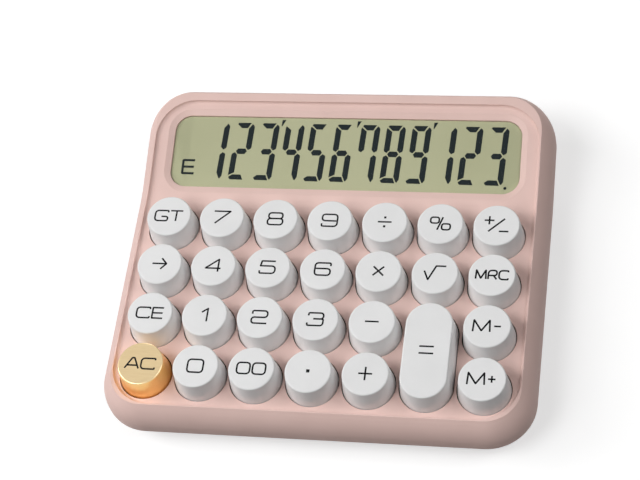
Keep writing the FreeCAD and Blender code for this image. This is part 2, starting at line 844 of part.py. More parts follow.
def screw(name, head_radius, head_height, shank_radius, shank_length, seat, x="0", y="0"):
    """A screw put in from below, with its head under seat."""
    head = cylinder(f"{name}_head", head_radius, head_height, x, y, f"{seat} - {head_height}")
    shank = cylinder(f"{name}_shank", shank_radius, shank_length, x, y, seat)
    return fuse(name, [head, shank])


board_blank = outline_block(
    "board_blank",
    "(case_width / 2 - side_border + board_margin)",
    BOARD_FRONT,
    BOARD_REAR,
    "board_corner",
    "board_thickness",
)
place(board_blank, z=BOARD_UNDER)
board_hole = cylinder(
    "board_hole", "screw_radius + board_hole_clearance", "board_thickness", "0", "0", BOARD_UNDER
)
case_hole = cylinder(
    "case_hole", "boss_outer + board_hole_clearance", "board_thickness", "0", "0", BOARD_UNDER
)
board_cuts = [
    copies("board_pin_holes", pin_slots, places),
    copies("board_screw_holes", [board_hole], board_screw_places),
    copies("board_case_holes", [case_hole], front_screw_places),
]
nodes["main_board"] = cut("main_board", board_blank, group("board_cuts", board_cuts))
board_screw = screw(
    "board_screw",
    "board_screw_head",
    "head_thickness",
    "screw_radius",
    "board_thickness + board_screw_grip",
    BOARD_UNDER,
)
nodes["board_screws"] = copies("board_screws", [board_screw], board_screw_places)

# Display stack, drawn level with its origin at the middle of the window on the deck surface.
def window_block(name, growth, height, z, taper=None):
    """A block of the window's outline, grown all round, that stands on z."""
    half_width = f"(window_width / 2 + {growth})"
    half_length = f"(window_length / 2 + {growth})"
    corner = f"(window_corner + {growth})"
    block = outline_block(name, half_width, f"-{half_length}", half_length, corner, height, taper=taper)
    return place(block, z=z)


DISPLAY_CORNERS = [(x, y) for x in ("-", "") for y in ("-", "")]


def display_corner(number):
    side_x, side_y = DISPLAY_CORNERS[number]
    return f"{side_x}{DISPLAY_POST_X}", f"{side_y}{DISPLAY_POST_Y}"


recess = window_block(
    "recess", "0", "recess_depth + recess_over", "-recess_depth", taper="atan(recess_width / recess_depth)"
)
opening = window_block("opening", "0", "2 * deck_wall", "-2 * deck_wall")
display_cuts = on_display(fuse("display_cuts", [recess, opening]))
lens = window_block("lens", "(0 - lens_gap)", "lens_thickness", f"-{PANEL_FACE}")
nodes["display_window"] = on_display(group("display_window", [lens]))
lcd_plate = window_block("lcd_plate", "panel_border", "panel_thickness", f"-{PANEL_UNDER}")
lcd_face = window_block("lcd_face", "(0 - lens_gap)", f"deck_wall - {PANEL_FACE}", "-deck_wall")
nodes["lcd_panel"] = on_display(fuse("lcd_panel", [lcd_plate, lcd_face]))
frame_height = f"{DISPLAY_BOARD_TOP} - deck_wall"
frame_outer = window_block("frame_outer", FRAME_BORDER, frame_height, f"-{DISPLAY_BOARD_TOP}")
frame_inner = window_block("frame_inner", "(panel_border + panel_gap)", frame_height, f"-{DISPLAY_BOARD_TOP}")
nodes["lcd_frame"] = on_display(cut("lcd_frame", frame_outer, frame_inner))
zebra = box(
    "zebra",
    f"2 * {PANEL_HALF_WIDTH} - 2 * zebra_inset",
    "zebra_width",
    "zebra_height",
    "0",
    f"zebra_width - {PANEL_HALF_LENGTH}",
    f"-{DISPLAY_BOARD_TOP}",
)
nodes["zebra_strip"] = on_display(group("zebra_strip", [zebra]))
DISPLAY_BOARD_UNDER = f"({DISPLAY_BOARD_TOP} + display_board_thickness)"
display_blank = outline_block(
    "display_blank",
    f"({FRAME_HALF_WIDTH} + display_board_overhang)",
    f"-{FRAME_HALF_LENGTH}",
    FRAME_HALF_LENGTH,
    f"(window_corner + {FRAME_BORDER})",
    "display_board_thickness",
)
place(display_blank, z=f"-{DISPLAY_BOARD_UNDER}")
display_holes = []
display_posts = []
display_pilots = []
display_screws = []
for number in range(len(DISPLAY_CORNERS)):
    spot = display_corner(number)
    display_holes.append(
        cylinder(
            f"display_hole_{number}",
            "screw_radius + board_hole_clearance",
            "display_board_thickness",
            *spot,
            f"-{DISPLAY_BOARD_UNDER}",
        )
    )
    display_posts.append(
        cylinder(
            f"display_post_{number}",
            "display_post_radius",
            f"{DISPLAY_BOARD_TOP} - deck_wall / 2",
            *spot,
            f"-{DISPLAY_BOARD_TOP}",
        )
    )
    display_pilots.append(
        cylinder(
            f"display_pilot_{number}",
            "screw_radius + screw_clearance",
            "display_screw_grip + pilot_spare",
            *spot,
            f"-{DISPLAY_BOARD_TOP}",
        )
    )
    display_screws.append(
        screw(
            f"display_screw_{number}",
            "board_screw_head",
            "head_thickness",
            "screw_radius",
            "display_board_thickness + display_screw_grip",
            f"-{DISPLAY_BOARD_UNDER}",
            *spot,
        )
    )
display_board = cut("display_board", display_blank, group("display_holes", display_holes))
nodes["display_board"] = on_display(display_board)
nodes["display_screws"] = on_display(group("display_screws", display_screws))
chip = doc.addObject("Part::Cone", "chip")
bind(chip, Radius1="chip_radius * 0.6", Radius2="chip_radius", Height="chip_height")
place(chip, "-chip_offset", "0", f"-{DISPLAY_BOARD_UNDER} - chip_height")
nodes["controller_chip"] = on_display(group("controller_chip", [chip]))

RIBBON_START = "window_front"


def below_display(along, depth):
    """A place in the side view, along the tilted surface from the bend and below it."""
    across = f"{BEND} + ({along}) * cos({TILT}) + ({depth}) * sin({TILT})"
    up = f"deck_height + ({along}) * sin({TILT}) - ({depth}) * cos({TILT})"
    return across, up


ribbon_body = doc.addObject("PartDesign::Body", "ribbon_cable")
ribbon_side = new_sketch(ribbon_body, "ribbon_side", "YZ_Plane")
RIBBON_UNDER = f"{DISPLAY_BOARD_UNDER} + ribbon_thickness"
polygon(
    ribbon_side,
    [
        below_display(f"{RIBBON_START} + ribbon_tab", DISPLAY_BOARD_UNDER),
        below_display(RIBBON_START, DISPLAY_BOARD_UNDER),
        (BOARD_REAR, f"{BOARD_TOP} + ribbon_thickness"),
        (f"{BOARD_REAR} - ribbon_tab", f"{BOARD_TOP} + ribbon_thickness"),
        (f"{BOARD_REAR} - ribbon_tab", BOARD_TOP),
        (BOARD_REAR, BOARD_TOP),
        below_display(RIBBON_START, RIBBON_UNDER),
        below_display(f"{RIBBON_START} + ribbon_tab", RIBBON_UNDER),
    ],
)
pad(ribbon_body, ribbon_side, "ribbon_width")
nodes["ribbon_cable"] = place(ribbon_body, x="ribbon_offset - ribbon_width / 2")

# Bosses and holes of the top shell.
DECK_CORE = "(deck_height - deck_wall / 2)"
REAR_SCREW_X = "(case_width / 2 - rear_screw_margin)"
REAR_SCREW_Y = f"({REAR_ROW} + rear_screw_distance)"
REAR_SCREW_SPOTS = [(f"-{REAR_SCREW_X}", REAR_SCREW_Y), (REAR_SCREW_X, REAR_SCREW_Y)]
FRONT_SCREW_SPOTS = [(key_x(column), key_y(row)) for column, row in front_screw_places]
CASE_SCREW_SPOTS = FRONT_SCREW_SPOTS + REAR_SCREW_SPOTS

board_boss = cylinder("board_boss", "boss_outer", f"{DECK_CORE} - {BOARD_TOP}", "0", "0", BOARD_TOP)
board_pilot = cylinder(
    "board_pilot", "screw_radius + screw_clearance", "board_screw_grip + pilot_spare", "0", "0", BOARD_TOP
)
bosses = [
    copies("board_bosses", [board_boss], board_screw_places),
    on_display(group("display_posts", display_posts)),
]
pilots = [
    copies("board_pilots", [board_pilot], board_screw_places),
    on_display(group("display_pilots", display_pilots)),
]
case_posts = []
case_holes = []
case_screws = []
SCREW_SEAT = f"({POST_TOP} - case_web)"
POST_HEIGHT = f"{POST_TOP} - foot_height"
for number, spot in enumerate(CASE_SCREW_SPOTS):
    radius = "boss_outer" if spot in FRONT_SCREW_SPOTS else "rear_boss_radius"
    bosses.append(cylinder(f"case_boss_{number}", radius, f"{DECK_CORE} - {POST_TOP}", *spot, POST_TOP))
    pilots.append(
        cylinder(
            f"case_pilot_{number}",
            "case_screw_radius + screw_clearance",
            "case_screw_grip + pilot_spare",
            *spot,
            POST_TOP,
        )
    )
    case_posts.append(cylinder(f"case_post_{number}", "case_post_radius", POST_HEIGHT, *spot, "foot_height"))
    for part_name, width, height in (
        ("bore", "case_screw_radius + case_hole_clearance", POST_HEIGHT),
        ("well", "case_head_radius + case_hole_clearance", f"{POST_HEIGHT} - case_web"),
    ):
        case_holes.append(cylinder(f"case_{part_name}_{number}", width, height, *spot, "foot_height"))
    case_screws.append(
        screw(
            f"case_screw_{number}",
            "case_head_radius",
            "case_head_thickness",
            "case_screw_radius",
            "case_web + case_screw_grip",
            SCREW_SEAT,
            *spot,
        )
    )
nodes["case_screws"] = group("case_screws", case_screws)

HOLE_FOOT = "(deck_height - 2 * deck_wall)"
HOLE_HEIGHT = "4 * deck_wall"
round_hole = cylinder("round_hole", HOLE_RADIUS, HOLE_HEIGHT, "0", "0", HOLE_FOOT)
long_hole = place(slot_block("long_hole", HOLE_RADIUS, LONG_REACH, HOLE_HEIGHT), z=HOLE_FOOT)
round_places = [spot for name, spot in key_places.items() if name != "equals"]
key_holes = [
    copies("round_holes", [round_hole], round_places),
    copies("long_holes", [long_hole], [key_places["equals"]]),
]
shell_cuts = group("shell_cuts", key_holes + pilots + [display_cuts])
nodes["top_shell"] = cut("top_shell", fuse("shell_bossed", [shell] + bosses), shell_cuts)

# Bottom shell: a flared tub whose wall laps inside the top shell's skirt.
FLARE_TOP = "(foot_height + flare_height)"


def tub(name, inset, drop):
    """The tub's form, inset all round, with its flared part going down by drop."""

    def layer(suffix, inward, height, taper=None):
        half = f"(case_width / 2 - {TUB_INSET} - {inset} - {inward})"
        low = f"({CASE_FRONT} + {TUB_INSET} + {inset} + {inward})"
        high = f"({CASE_REAR} - {TUB_INSET} - {inset} - {inward})"
        corner = f"(case_corner - {TUB_INSET} - {inset} - {inward})"
        return outline_block(f"{name}_{suffix}", half, low, high, corner, height, taper=taper)

    flare = layer("flare", f"{drop} * tan(base_taper * 1 deg)", drop, "base_taper")
    place(flare, z=f"{FLARE_TOP} - {drop}")
    wall = place(layer("wall", "0", f"{CLEAR}"), z=FLARE_TOP)
    return fuse(name, [flare, wall])


under_lap = bent_block("under_lap", f"({SKIRT_OFFSET} + lap_depth)", GROUND)
tub_solid = common("tub_solid", tub("tub_outer", "0", "flare_height"), under_lap)
tub_shell = cut("tub_shell", tub_solid, tub("tub_inner", "shell_wall", "(flare_height - floor_wall)"))

BAY_END = "(cell_length / 2 + contact_plate + bay_wall / 2)"
BAY_LENGTH = f"({REAR_CELL} + cell_radius - {BAY_FRONT} + bay_wall)"
BAY_MIDDLE = f"({BAY_FRONT} - bay_wall + {BAY_LENGTH} / 2)"
bay_walls = []
for side in ("-", ""):
    name = "bay_left" if side else "bay_right"
    spot = (f"{side}{BAY_END}", BAY_MIDDLE, FLOOR)
    bay_walls.append(box(name, "bay_wall", BAY_LENGTH, "bay_height", *spot))
bay_walls.append(
    box("bay_front", f"2 * {BAY_END}", "bay_wall", "bay_height", "0", f"{BAY_FRONT} - bay_wall / 2", FLOOR)
)

DOOR_FRONT = f"({BAY_FRONT} - door_lap)"
DOOR_LENGTH = f"({DOOR_REAR} - {DOOR_FRONT})"
DOOR_MIDDLE = f"(({DOOR_REAR} + {DOOR_FRONT}) / 2)"
SLOT_FRONT = f"({DOOR_FRONT} - door_clearance)"
SLOT_LENGTH = f"({CASE_REAR} - {SLOT_FRONT})"
SLOT_MIDDLE = f"(({CASE_REAR} + {SLOT_FRONT}) / 2)"
DOOR_LEDGE = "(foot_height + door_step)"
door_slot = fuse(
    "door_slot",
    [
        box("slot_mouth", "door_width", SLOT_LENGTH, "door_step", "0", SLOT_MIDDLE, "foot_height"),
        box(
            "slot_groove",
            "door_width + 2 * door_tongue",
            SLOT_LENGTH,
            f"{FLOOR} - {DOOR_LEDGE}",
            "0",
            SLOT_MIDDLE,
            DOOR_LEDGE,
        ),
    ],
)

FOOT_X = "(case_width / 2 - foot_side_margin)"
FOOT_SPOTS = [
    (f"{side}{FOOT_X}", along)
    for side in ("-", "")
    for along in (f"{CASE_FRONT} + foot_front_margin", f"{CASE_REAR} - foot_rear_margin")
]
FOOT_TOP = "foot_height + foot_seat"
feet = []
foot_seats = []
for number, spot in enumerate(FOOT_SPOTS):
    feet.append(cylinder(f"foot_{number}", "foot_radius", FOOT_TOP, *spot, "0"))
    foot_seats.append(cylinder(f"foot_seat_{number}", "foot_radius + foot_clearance", FOOT_TOP, *spot, "0"))
nodes["rubber_feet"] = group("rubber_feet", feet)

tub_built = fuse("tub_built", [tub_shell] + case_posts + bay_walls)
tub_cuts = fuse("tub_cuts", case_holes + foot_seats + [door_slot])
nodes["bottom_shell"] = cut("bottom_shell", tub_built, tub_cuts)

# Battery door: a plate with side tongues that slides out to the rear.
door_plate = box(
    "door_plate",
    "door_width - 2 * door_clearance",
    DOOR_LENGTH,
    f"{FLOOR} - door_clearance - foot_height",
    "0",
    DOOR_MIDDLE,
    "foot_height",
)
door_tongues = box(
    "door_tongues",
    "door_width + 2 * door_tongue - 2 * door_clearance",
    DOOR_LENGTH,
    f"{FLOOR} - {DOOR_LEDGE} - 1.5 * door_clearance",
    "0",
    DOOR_MIDDLE,
    f"{DOOR_LEDGE} + door_clearance / 2",
)
grips = []
for number in range(3):
    grips.append(
        box(
            f"door_grip_{number}",
            "door_grip_length",
            "door_grip_width",
            "door_grip_depth",
            "0",
            f"{DOOR_REAR} - ({number} + 1.5) * door_grip_pitch",
            "foot_height",
        )
    )
door_solid = fuse("door_solid", [door_plate, door_tongues])
nodes["battery_door"] = cut("battery_door", door_solid, group("door_grips", grips))

# Cells, their contacts and the leads to the main board.
def lying_cylinder(name, radius, length, x, y, z):
    """A cylinder along the case's width that starts at x."""
    item = bind(doc.addObject("Part::Cylinder", name), Radius=radius, Height=length)
    item.Placement = FreeCAD.Placement(FreeCAD.Vector(), FreeCAD.Rotation(FreeCAD.Vector(0, 1, 0), 90))
    return place(item, x, y, z)


CAN_LENGTH = "(cell_length - cell_nub_height)"
battery_cells = []
for name, along, can_start, nub_start in (
    ("rear_cell", REAR_CELL, "-cell_length / 2", "cell_length / 2 - cell_nub_height"),
    ("front_cell", FRONT_CELL, "cell_nub_height - cell_length / 2", "-cell_length / 2"),
):
    can = lying_cylinder(f"{name}_can", "cell_radius", CAN_LENGTH, can_start, along, CELL_MIDDLE)
    nub = lying_cylinder(f"{name}_nub", "cell_nub_radius", "cell_nub_height", nub_start, along, CELL_MIDDLE)
    battery_cells.append(fuse(name, [can, nub]))
nodes["battery_cells"] = group("battery_cells", battery_cells)

PLATE_X = "(cell_length / 2 + contact_plate / 2)"
PLATE_FOOT = f"({CELL_MIDDLE} - contact_plate_height / 2)"
PLATE = ("contact_plate_height", PLATE_FOOT)
plates = [
    box(
        "plate_bridge",
        "contact_plate",
        f"{REAR_CELL} - {FRONT_CELL} + contact_plate_width",
        PLATE[0],
        PLATE_X,
        f"({REAR_CELL} + {FRONT_CELL}) / 2",
        PLATE[1],
    )
]
for name, along in (("plate_rear", REAR_CELL), ("plate_front", FRONT_CELL)):
    plates.append(box(name, "contact_plate", "contact_plate_width", PLATE[0], f"-{PLATE_X}", along, PLATE[1]))
nodes["battery_contacts"] = group("battery_contacts", plates)


def lead(number, along):
    """A lead from the outer face of a contact plate forward to the main board, with round bends."""
    plate_face = -value_of("cell_length / 2 + contact_plate")
    level = value_of(f"{BOARD_TOP} + wire_height")
    lane = plate_face - value_of(f"wire_run + {number} * wire_spacing")
    landing = value_of(f"{BOARD_REAR} - wire_margin")
    route = [
        FreeCAD.Vector(plate_face, value_of(along), level),
        FreeCAD.Vector(lane, value_of(along), level),
        FreeCAD.Vector(lane, landing, level),
        FreeCAD.Vector(lane, landing, value_of(BOARD_TOP)),
    ]
    bend = value_of("wire_bend")
    edges = []
    start = route[0]
    for before, corner, after in zip(route, route[1:], route[2:]):
        inward = (before - corner).normalize()
        onward = (after - corner).normalize()
        middle = corner + (inward + onward) * bend * (1 - math.sqrt(0.5))
        edges.append(Part.LineSegment(start, corner + inward * bend).toShape())
        edges.append(Part.Arc(corner + inward * bend, middle, corner + onward * bend).toShape())
        start = corner + onward * bend
    edges.append(Part.LineSegment(start, route[-1]).toShape())
    spine = Part.Wire(edges)
    section = Part.Wire(Part.makeCircle(value_of("wire_radius"), route[0], route[1] - route[0]))
    return spine.makePipeShell([section], True, True)


leads = doc.addObject("Part::Feature", "battery_leads")
leads.Shape = Part.Compound([lead(0, FRONT_CELL), lead(1, REAR_CELL)])
nodes["battery_leads"] = leads

doc.recompute()
for item in doc.Objects:
    if "Invalid" in item.State or "Error" in item.State:
        raise RuntimeError(f"{item.Label} failed: {item.State}")
for label, item in nodes.items():
    item.Label = label
    if item.Shape.isNull() or not item.Shape.isValid() or not item.Shape.Solids:
        raise RuntimeError(f"{label} has no valid solid")
os.makedirs("parts", exist_ok=True)
for label, item in nodes.items():
    item.Shape.exportStep(f"parts/{label}.step")
print(f"{len(nodes)} nodes written")
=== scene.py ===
import json
import math

import bmesh
import bpy
from mathutils import Matrix, Vector


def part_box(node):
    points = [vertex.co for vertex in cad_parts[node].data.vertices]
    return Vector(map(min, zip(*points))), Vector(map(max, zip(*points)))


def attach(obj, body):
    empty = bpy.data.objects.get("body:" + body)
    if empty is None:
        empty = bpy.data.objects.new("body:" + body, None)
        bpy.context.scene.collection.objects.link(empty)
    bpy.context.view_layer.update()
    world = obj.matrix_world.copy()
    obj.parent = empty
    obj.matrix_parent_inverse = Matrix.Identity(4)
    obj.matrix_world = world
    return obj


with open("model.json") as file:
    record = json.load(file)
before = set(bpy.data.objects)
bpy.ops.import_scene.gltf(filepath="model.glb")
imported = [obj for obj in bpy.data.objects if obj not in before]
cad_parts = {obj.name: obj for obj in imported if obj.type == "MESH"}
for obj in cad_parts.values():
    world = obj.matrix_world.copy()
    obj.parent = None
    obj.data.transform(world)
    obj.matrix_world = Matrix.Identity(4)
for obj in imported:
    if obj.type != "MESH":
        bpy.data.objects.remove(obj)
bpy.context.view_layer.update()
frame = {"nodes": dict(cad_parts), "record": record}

MM = 0.001
WHITE = (1.0, 1.0, 1.0, 1.0)

# Places that the solids fix, in millimetres.
DECK_HEIGHT = 20.0
BEND_Y = 24.0
DISPLAY_TILT = math.radians(11.0)
WINDOW_FRONT = 2.0
WINDOW_LENGTH = 27.3
PANEL_DEPTH = 1.6

scene = bpy.context.scene
scene.view_settings.view_transform = "Standard"


# Materials.  Sizes of noise and depths of bump are in millimetres.

EVEN = (1.0, 1.0, 1.0)
BRUSHED_ACROSS = (0.08, 1.0, 1.0)
# Nearly all values of a noise texture lie between these two.
NOISE_LOW = 0.3
NOISE_HIGH = 0.7
METAL_GRAIN = 0.25
METAL_DETAIL = 3.0
METAL_DEPTH = 0.004

MATERIALS = {}


def new_material(name):
    """A new material, kept under its name, as its node tree and its shader."""
    material = bpy.data.materials.new(name)
    material.use_nodes = True
    MATERIALS[name] = material
    return material.node_tree, material.node_tree.nodes["Principled BSDF"]


def noise(tree, size, detail, stretch=EVEN):
    """A noise texture in the object's own space, with features about size wide."""
    place = tree.nodes.new("ShaderNodeTexCoord")
    mapping = tree.nodes.new("ShaderNodeMapping")
    mapping.inputs["Scale"].default_value = stretch
    texture = tree.nodes.new("ShaderNodeTexNoise")
    texture.inputs["Scale"].default_value = 1.0 / (size * MM)
    texture.inputs["Detail"].default_value = detail
    tree.links.new(place.outputs["Object"], mapping.inputs["Vector"])
    tree.links.new(mapping.outputs["Vector"], texture.inputs["Vector"])
    return texture.outputs["Fac"]


def ramp(tree, value, low, high):
    """A colour from low to high, driven by a value."""
    node = tree.nodes.new("ShaderNodeValToRGB")
    start, end = node.color_ramp.elements
    start.position = NOISE_LOW
    end.position = NOISE_HIGH
    start.color = (*low, 1.0)
    end.color = (*high, 1.0)
    tree.links.new(value, node.inputs["Fac"])
    return node.outputs["Color"]


def spread(tree, value, low, high):
    """A number from low to high, driven by a value."""
    node = tree.nodes.new("ShaderNodeMapRange")
    node.inputs["From Min"].default_value = NOISE_LOW
    node.inputs["From Max"].default_value = NOISE_HIGH
    node.inputs["To Min"].default_value = low
    node.inputs["To Max"].default_value = high
    tree.links.new(value, node.inputs["Value"])
    return node.outputs["Result"]


def bump(tree, value, shader, depth):
    """Raise the surface by a value, up to depth."""
    node = tree.nodes.new("ShaderNodeBump")
    node.inputs["Distance"].default_value = depth * MM
    node.inputs["Strength"].default_value = 1.0
    tree.links.new(value, node.inputs["Height"])
    tree.links.new(node.outputs["Normal"], shader.inputs["Normal"])


def srgb(red, green, blue):
    """A colour picked as 8-bit display values, in the linear numbers that shaders take."""
    linear = []
    for channel in (red, green, blue):
        share = channel / 255.0
        linear.append(share / 12.92 if share <= 0.04045 else ((share + 0.055) / 1.055) ** 2.4)
    return tuple(linear)


def grained(
    name, low, high, roughness, drift=(14.0, 3.0), gloss=(2.5, 3.0), grain=(0.35, 2.0),
    depth=0.006, specular=0.4,
):
    """A surface with a slow drift of tone, a slightly uneven gloss and a fine grain.

    Each of the three is a noise, given as its size and its detail.
    """
    tree, shader = new_material(name)
    tree.links.new(ramp(tree, noise(tree, *drift), low, high), shader.inputs["Base Color"])
    tree.links.new(spread(tree, noise(tree, *gloss), *roughness), shader.inputs["Roughness"])
    bump(tree, noise(tree, *grain), shader, depth)
    shader.inputs["Specular IOR Level"].default_value = specular


def metal(name, low, high, roughness):
    """Metal with a fine grain that varies its tone and its gloss together."""
    tree, shader = new_material(name)
    grain = noise(tree, METAL_GRAIN, METAL_DETAIL)
    tree.links.new(ramp(tree, grain, low, high), shader.inputs["Base Color"])
    tree.links.new(spread(tree, grain, *roughness), shader.inputs["Roughness"])
    bump(tree, grain, shader, METAL_DEPTH)
    shader.inputs["Metallic"].default_value = 1.0


def ink(name, low, high):
    """Printed ink, not quite even."""
    grained(
        name, low, high, (0.5, 0.65), drift=(0.5, 3.0), gloss=(0.2, 2.0), grain=(0.15, 2.0),
        depth=0.003, specular=0.12,
    )


def gold_lacquer(name, painted_side_colours, painted_top_colours, roughness, depth, metallic):
    """Gold lacquer with a brushed grain and painted reflection: a paler top and deeper orange
    sides, chosen by the way each face points.
    """
    tree, shader = new_material(name)
    grain = noise(tree, METAL_GRAIN, METAL_DETAIL, BRUSHED_ACROSS)
    place = tree.nodes.new("ShaderNodeTexCoord")
    parts = tree.nodes.new("ShaderNodeSeparateXYZ")
    tree.links.new(place.outputs["Normal"], parts.inputs["Vector"])
    # Painted reflection: faces that point up take the pale top colours, and faces that point
    # sideways take the deeper orange side colours.
    blend = tree.nodes.new("ShaderNodeMix")
    blend.data_type = "RGBA"
    tree.links.new(spread(tree, parts.outputs["Z"], 0.0, 1.0), blend.inputs["Factor"])
    side, top = (socket for socket in blend.inputs if socket.type == "RGBA")
    tree.links.new(ramp(tree, grain, *painted_side_colours), side)
    tree.links.new(ramp(tree, grain, *painted_top_colours), top)
    mixed = next(socket for socket in blend.outputs if socket.type == "RGBA")
    tree.links.new(mixed, shader.inputs["Base Color"])
    tree.links.new(spread(tree, grain, *roughness), shader.inputs["Roughness"])
    bump(tree, grain, shader, depth)
    shader.inputs["Metallic"].default_value = metallic


def clear_sheet(name, haze, roughness, gloss, alpha, specular):
    """Clear polished plastic that mostly lets the panel under it show, with a faint haze."""
    tree, shader = new_material(name)
    shader.inputs["Base Color"].default_value = (*haze, 1.0)
    tree.links.new(spread(tree, noise(tree, *gloss), *roughness), shader.inputs["Roughness"])
    shader.inputs["Alpha"].default_value = alpha
    shader.inputs["Specular IOR Level"].default_value = specular


# The outside of the case, the keys and the display.
grained("case_plastic", srgb(228, 197, 189), srgb(233, 202, 194), (0.45, 0.55), specular=0.1)
grained("key_plastic", srgb(229, 229, 229), srgb(234, 234, 234), (0.45, 0.55), specular=0.25)
# The gold key: its paler top and deeper orange sides are painted reflection.
gold_lacquer(
    "gold_plastic",
    painted_side_colours=(srgb(246, 198, 124), srgb(251, 207, 134)),
    painted_top_colours=(srgb(211, 187, 145), srgb(217, 194, 152)),
    roughness=(0.28, 0.34),
    depth=0.0012,
    metallic=0.85,
)
clear_sheet(
    "window_plastic",
    haze=(0.5, 0.51, 0.45),
    roughness=(0.2, 0.3),
    gloss=(6.0, 3.0),
    alpha=0.02,
    specular=0.2,
)
grained(
    "lcd_glass", srgb(180, 181, 146), srgb(185, 186, 151), (0.45, 0.6), drift=(30.0, 1.0),
    gloss=(1.2, 2.0), grain=(0.3, 2.0), depth=0.002, specular=0.2,
)
ink("key_ink", srgb(14, 14, 16), srgb(23, 23, 25))
ink("segment_ink", srgb(2, 15, 19), srgb(7, 21, 25))

# The underside and the inside.
grained("dark_plastic", srgb(30, 30, 33), srgb(42, 42, 45), (0.4, 0.55))
grained("board_laminate", srgb(26, 82, 48), srgb(40, 104, 62), (0.3, 0.45), grain=(0.8, 2.0))
grained("ribbon_film", srgb(214, 208, 192), srgb(226, 221, 208), (0.3, 0.4), grain=(0.6, 2.0))
grained("strip_rubber", srgb(58, 58, 62), srgb(74, 74, 78), (0.7, 0.85))
grained(
    "foot_rubber", srgb(150, 146, 146), srgb(166, 162, 162), (0.75, 0.9), grain=(0.5, 2.0),
    depth=0.02,
)
grained("lead_plastic", srgb(140, 26, 24), srgb(158, 34, 30), (0.35, 0.5))
metal("screw_steel", srgb(168, 168, 172), srgb(190, 190, 194), (0.3, 0.45))
metal("spring_steel", srgb(184, 184, 186), srgb(204, 204, 206), (0.25, 0.4))
metal("contact_brass", srgb(196, 156, 82), srgb(214, 176, 100), (0.3, 0.45))
metal("cell_metal", srgb(58, 58, 62), srgb(72, 72, 76), (0.35, 0.45))

for subpart in frame["record"]["subparts"]:
    node = frame["nodes"][subpart["node"]]
    node.data.materials.clear()
    node.data.materials.append(MATERIALS[subpart["material_slot"]])


# Flat printed shapes, in millimetres

SAME_POINT = 0.001
LEAST_REACH = 0.02
NEARLY_STRAIGHT = math.radians(170)
CORNER_STEPS = 7
LEAST_MITRE = 0.35


def round_corners(points, radius, closed):
    """The line through points with its corners rounded, as a list of points."""
    result = []
    count = len(points)
    for index, corner in enumerate(points):
        if not closed and index in (0, count - 1):
            result.append(corner)
            continue
        inward = points[index - 1] - corner
        onward = points[(index + 1) % count] - corner
        reach = min(radius, inward.length / 2, onward.length / 2)
        if inward.angle(onward) > NEARLY_STRAIGHT or reach < LEAST_REACH:
            result.append(corner)
            continue
        start = corner + inward.normalized() * reach
        end = corner + onward.normalized() * reach
        for step in range(CORNER_STEPS + 1):
            share = step / CORNER_STEPS
            near = start.lerp(corner, share)
            far = corner.lerp(end, share)
            result.append(near.lerp(far, share))
    distinct = [result[0]]
    for point in result[1:]:
        if (point - distinct[-1]).length > SAME_POINT:
            distinct.append(point)
    if closed and (distinct[-1] - distinct[0]).length <= SAME_POINT:
        distinct.pop()
    return distinct


def side_vectors(line, closed):
    """The sideways direction at each point of a line, longer at corners to keep the width even."""
    count = len(line)
    sides = []
    for index, point in enumerate(line):
        first = not closed and index == 0
        last = not closed and index == count - 1
        inward = None if first else (point - line[index - 1]).normalized()
        onward = inward if last else (line[(index + 1) % count] - point).normalized()
        if first:
            inward = onward
        along = (inward + onward).normalized()
        across = Vector((-along.y, along.x))
        plain = Vector((-inward.y, inward.x))
        sides.append(across / max(across.dot(plain), LEAST_MITRE))
    return sides


def add_stroke(mesh, points, width, radius, closed, levels):
    """A ribbon of even width along a line, as a thin closed strip between two levels."""
    line = round_corners([Vector(point) for point in points], radius, closed)
    low, high = levels
    rows = []
    for point, side in zip(line, side_vectors(line, closed)):
        left = point + side * width / 2
        right = point - side * width / 2
        corners = [(left, high), (right, high), (right, low), (left, low)]
        rows.append([mesh.verts.new((spot.x, spot.y, level)) for spot, level in corners])
    pairs = list(zip(rows, rows[1:]))
    if closed:
        pairs.append((rows[-1], rows[0]))
    for first, second in pairs:
        for corner in range(len(first)):
            following = (corner + 1) % len(first)
            mesh.faces.new((first[corner], first[following], second[following], second[corner]))
    if not closed:
        mesh.faces.new(rows[0][::-1])
        mesh.faces.new(rows[-1])


def add_plate(mesh, points, levels):
    """A flat polygon as a thin closed plate between two levels."""
    low, high = ([mesh.verts.new((x, y, level)) for x, y in points] for level in levels)
    mesh.faces.new(low[::-1])
    mesh.faces.new(high)
    count = len(points)
    for index in range(count):
        after = (index + 1) % count
        mesh.faces.new((low[index], low[after], high[after], high[index]))


def make_piece(name, mesh, matrix, material, body):
    """Turn a mesh drawn in millimetres into a piece that rides on a body."""
    bmesh.ops.recalc_face_normals(mesh, faces=mesh.faces)
    bmesh.ops.scale(mesh, vec=(MM, MM, MM), verts=mesh.verts)
    bmesh.ops.transform(mesh, matrix=matrix, verts=mesh.verts)
    data = bpy.data.meshes.new(name)
    mesh.to_mesh(data)
    mesh.free()
    data.materials.append(material)
    piece = bpy.data.objects.new(name, data)
    scene.collection.objects.link(piece)
    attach(piece, body)


# Key legends.  A glyph is a list of lines in a unit box; True marks a closed line.

